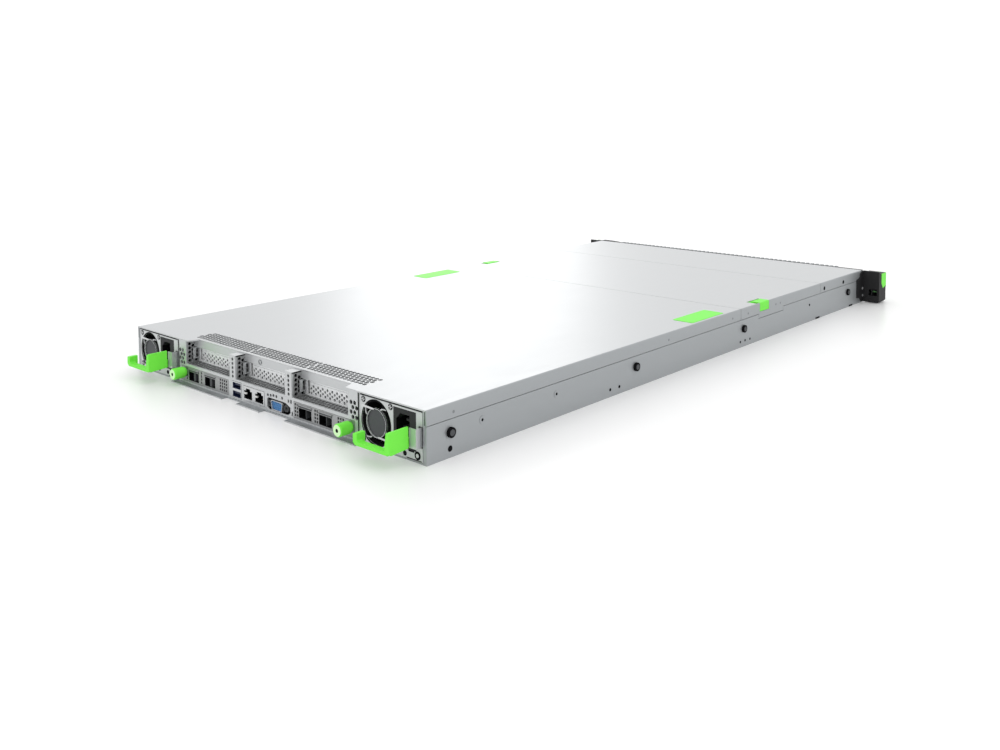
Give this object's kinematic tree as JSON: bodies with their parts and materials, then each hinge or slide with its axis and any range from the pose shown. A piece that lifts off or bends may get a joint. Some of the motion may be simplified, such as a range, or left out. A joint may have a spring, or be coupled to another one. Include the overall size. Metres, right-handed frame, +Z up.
{
  "type": "1u rack server",
  "caption": "Flat rack server: lid with green touch points, slide-out power supplies and network modules, expansion slots, fans, drive trays and rack ears.",
  "frame": {"origin": "centre of the whole bounding box in plan, on the underside of the base", "axes": "+Y from the drive side to the rear face with the connectors, +X to the right as seen from the drive side, +Z up"},
  "size_m": [0.4824, 0.849, 0.0433],
  "materials": {
    "cover_steel": "satin zinc-plated sheet",
    "side_steel": "satin zinc-plated sheet",
    "bright_steel": "bright plated sheet",
    "port_metal": "plated",
    "black_plastic": "matt black moulding",
    "grey_plastic": "matt grey moulding",
    "green_plastic": "bright green touch points",
    "blue_plastic": "blue socket body",
    "board": "green circuit board",
    "cooler": "plain fins"
  },
  "bodies": {
    "chassis": {"chassis_tray": "side_steel", "board_posts": "bright_steel", "rear_frame": "bright_steel", "front_cover": "cover_steel", "slot_brackets": "bright_steel", "riser_cards": "board", "usb_ports": "port_metal", "network_ports": "port_metal", "vga_port": "port_metal", "vga_insert": "blue_plastic", "main_board": "board", "heatsinks": "cooler", "memory_modules": "board", "drive_cage": "bright_steel", "backplane": "board", "fan_housings": "black_plastic", "front_panel": "black_plastic", "ear_left": "black_plastic", "ear_right": "black_plastic", "rail_studs": "bright_steel"},
    "rear_cover": {"rear_cover": "cover_steel", "touch_pads": "green_plastic"},
    "middle_cover": {"middle_cover": "cover_steel"},
    "cover_latch_left": {"cover_latch_left": "green_plastic"},
    "cover_latch_right": {"cover_latch_right": "green_plastic"},
    "psu_1": {"psu_1_case": "side_steel", "psu_1_fan_frame": "black_plastic", "psu_1_inlet": "black_plastic", "psu_1_handle": "green_plastic"},
    "psu_1_rotor": {"psu_1_rotor": "black_plastic"},
    "psu_1_latch": {"psu_1_latch": "bright_steel"},
    "network_module_1": {"network_module_1": "bright_steel"},
    "thumbscrew_1": {"thumbscrew_1": "green_plastic"},
    "psu_2": {"psu_2_case": "side_steel", "psu_2_fan_frame": "black_plastic", "psu_2_inlet": "black_plastic", "psu_2_handle": "green_plastic"},
    "psu_2_rotor": {"psu_2_rotor": "black_plastic"},
    "psu_2_latch": {"psu_2_latch": "bright_steel"},
    "network_module_2": {"network_module_2": "bright_steel"},
    "thumbscrew_2": {"thumbscrew_2": "green_plastic"},
    "fan_rotor_1": {"fan_rotor_1": "black_plastic"},
    "fan_rotor_2": {"fan_rotor_2": "black_plastic"},
    "fan_rotor_3": {"fan_rotor_3": "black_plastic"},
    "fan_rotor_4": {"fan_rotor_4": "black_plastic"},
    "fan_rotor_5": {"fan_rotor_5": "black_plastic"},
    "fan_rotor_6": {"fan_rotor_6": "black_plastic"},
    "drive_tray_1": {"drive_tray_1": "bright_steel"},
    "tray_lever_1": {"tray_lever_1": "black_plastic"},
    "drive_tray_2": {"drive_tray_2": "bright_steel"},
    "tray_lever_2": {"tray_lever_2": "black_plastic"},
    "drive_tray_3": {"drive_tray_3": "bright_steel"},
    "tray_lever_3": {"tray_lever_3": "black_plastic"},
    "drive_tray_4": {"drive_tray_4": "bright_steel"},
    "tray_lever_4": {"tray_lever_4": "black_plastic"},
    "power_button": {"power_button": "grey_plastic"},
    "id_button": {"id_button": "grey_plastic"},
    "ear_lever_left": {"ear_lever_left": "green_plastic"},
    "ear_lever_right": {"ear_lever_right": "green_plastic"}
  },
  "joints": [
    {"name": "rear_cover_lift", "type": "slide", "parent": "chassis", "child": "rear_cover", "axis": [0, 0, 1], "range_m": [0, 0.1]},
    {"name": "middle_cover_lift", "type": "slide", "parent": "chassis", "child": "middle_cover", "axis": [0, 0, 1], "range_m": [0, 0.1]},
    {"name": "cover_latch_left_press", "type": "slide", "parent": "middle_cover", "child": "cover_latch_left", "axis": [1, 0, 0], "range_m": [0, 0.0025], "stiffness_N_per_m": 800},
    {"name": "cover_latch_right_press", "type": "slide", "parent": "middle_cover", "child": "cover_latch_right", "axis": [-1, 0, 0], "range_m": [0, 0.0025], "stiffness_N_per_m": 800},
    {"name": "psu_1_slide", "type": "slide", "parent": "chassis", "child": "psu_1", "axis": [0, 1, 0], "range_m": [0, 0.2]},
    {"name": "psu_1_rotor_spin", "type": "hinge", "parent": "psu_1", "child": "psu_1_rotor", "pos_m": [0.19355, 0.3705, 0.021], "axis": [0, 1, 0], "continuous": true},
    {"name": "psu_1_latch_press", "type": "slide", "parent": "psu_1", "child": "psu_1_latch", "axis": [1, 0, 0], "range_m": [0, 0.0012], "stiffness_N_per_m": 600},
    {"name": "network_module_1_slide", "type": "slide", "parent": "chassis", "child": "network_module_1", "axis": [0, 1, 0], "range_m": [0, 0.12]},
    {"name": "thumbscrew_1_turn", "type": "hinge", "parent": "network_module_1", "child": "thumbscrew_1", "pos_m": [0.127, 0.3975, 0.0113], "axis": [0, 1, 0], "continuous": true},
    {"name": "psu_2_slide", "type": "slide", "parent": "chassis", "child": "psu_2", "axis": [0, 1, 0], "range_m": [0, 0.2]},
    {"name": "psu_2_rotor_spin", "type": "hinge", "parent": "psu_2", "child": "psu_2_rotor", "pos_m": [-0.15935, 0.3705, 0.021], "axis": [0, 1, 0], "continuous": true},
    {"name": "psu_2_latch_press", "type": "slide", "parent": "psu_2", "child": "psu_2_latch", "axis": [1, 0, 0], "range_m": [0, 0.0012], "stiffness_N_per_m": 600},
    {"name": "network_module_2_slide", "type": "slide", "parent": "chassis", "child": "network_module_2", "axis": [0, 1, 0], "range_m": [0, 0.12]},
    {"name": "thumbscrew_2_turn", "type": "hinge", "parent": "network_module_2", "child": "thumbscrew_2", "pos_m": [-0.127, 0.3975, 0.0113], "axis": [0, 1, 0], "continuous": true},
    {"name": "fan_rotor_1_spin", "type": "hinge", "parent": "chassis", "child": "fan_rotor_1", "pos_m": [-0.17, -0.2245, 0.0212], "axis": [0, 1, 0], "continuous": true},
    {"name": "fan_rotor_2_spin", "type": "hinge", "parent": "chassis", "child": "fan_rotor_2", "pos_m": [-0.102, -0.2245, 0.0212], "axis": [0, 1, 0], "continuous": true},
    {"name": "fan_rotor_3_spin", "type": "hinge", "parent": "chassis", "child": "fan_rotor_3", "pos_m": [-0.034, -0.2245, 0.0212], "axis": [0, 1, 0], "continuous": true},
    {"name": "fan_rotor_4_spin", "type": "hinge", "parent": "chassis", "child": "fan_rotor_4", "pos_m": [0.034, -0.2245, 0.0212], "axis": [0, 1, 0], "continuous": true},
    {"name": "fan_rotor_5_spin", "type": "hinge", "parent": "chassis", "child": "fan_rotor_5", "pos_m": [0.102, -0.2245, 0.0212], "axis": [0, 1, 0], "continuous": true},
    {"name": "fan_rotor_6_spin", "type": "hinge", "parent": "chassis", "child": "fan_rotor_6", "pos_m": [0.17, -0.2245, 0.0212], "axis": [0, 1, 0], "continuous": true},
    {"name": "drive_tray_1_slide", "type": "slide", "parent": "chassis", "child": "drive_tray_1", "axis": [0, -1, 0], "range_m": [0, 0.16]},
    {"name": "tray_lever_1_swing", "type": "hinge", "parent": "drive_tray_1", "child": "tray_lever_1", "pos_m": [-0.2071, -0.409, 0.0159], "axis": [0, 0, -1], "range_deg": [0, 60]},
    {"name": "drive_tray_2_slide", "type": "slide", "parent": "chassis", "child": "drive_tray_2", "axis": [0, -1, 0], "range_m": [0, 0.16]},
    {"name": "tray_lever_2_swing", "type": "hinge", "parent": "drive_tray_2", "child": "tray_lever_2", "pos_m": [-0.1005, -0.409, 0.0159], "axis": [0, 0, -1], "range_deg": [0, 60]},
    {"name": "drive_tray_3_slide", "type": "slide", "parent": "chassis", "child": "drive_tray_3", "axis": [0, -1, 0], "range_m": [0, 0.16]},
    {"name": "tray_lever_3_swing", "type": "hinge", "parent": "drive_tray_3", "child": "tray_lever_3", "pos_m": [0.0061, -0.409, 0.0159], "axis": [0, 0, -1], "range_deg": [0, 60]},
    {"name": "drive_tray_4_slide", "type": "slide", "parent": "chassis", "child": "drive_tray_4", "axis": [0, -1, 0], "range_m": [0, 0.16]},
    {"name": "tray_lever_4_swing", "type": "hinge", "parent": "drive_tray_4", "child": "tray_lever_4", "pos_m": [0.1127, -0.409, 0.0159], "axis": [0, 0, -1], "range_deg": [0, 60]},
    {"name": "power_button_press", "type": "slide", "parent": "chassis", "child": "power_button", "axis": [0, 1, 0], "range_m": [0, 0.0012], "stiffness_N_per_m": 1500},
    {"name": "id_button_press", "type": "slide", "parent": "chassis", "child": "id_button", "axis": [0, 1, 0], "range_m": [0, 0.0012], "stiffness_N_per_m": 1500},
    {"name": "ear_lever_left_swing", "type": "hinge", "parent": "chassis", "child": "ear_lever_left", "pos_m": [-0.239, -0.4075, 0.015], "axis": [0, 0, -1], "range_deg": [0, 15], "stiffness_Nm_per_rad": 0.4},
    {"name": "ear_lever_right_swing", "type": "hinge", "parent": "chassis", "child": "ear_lever_right", "pos_m": [0.239, -0.4075, 0.015], "axis": [0, 0, 1], "range_deg": [0, 15], "stiffness_Nm_per_rad": 0.4}
  ]
}
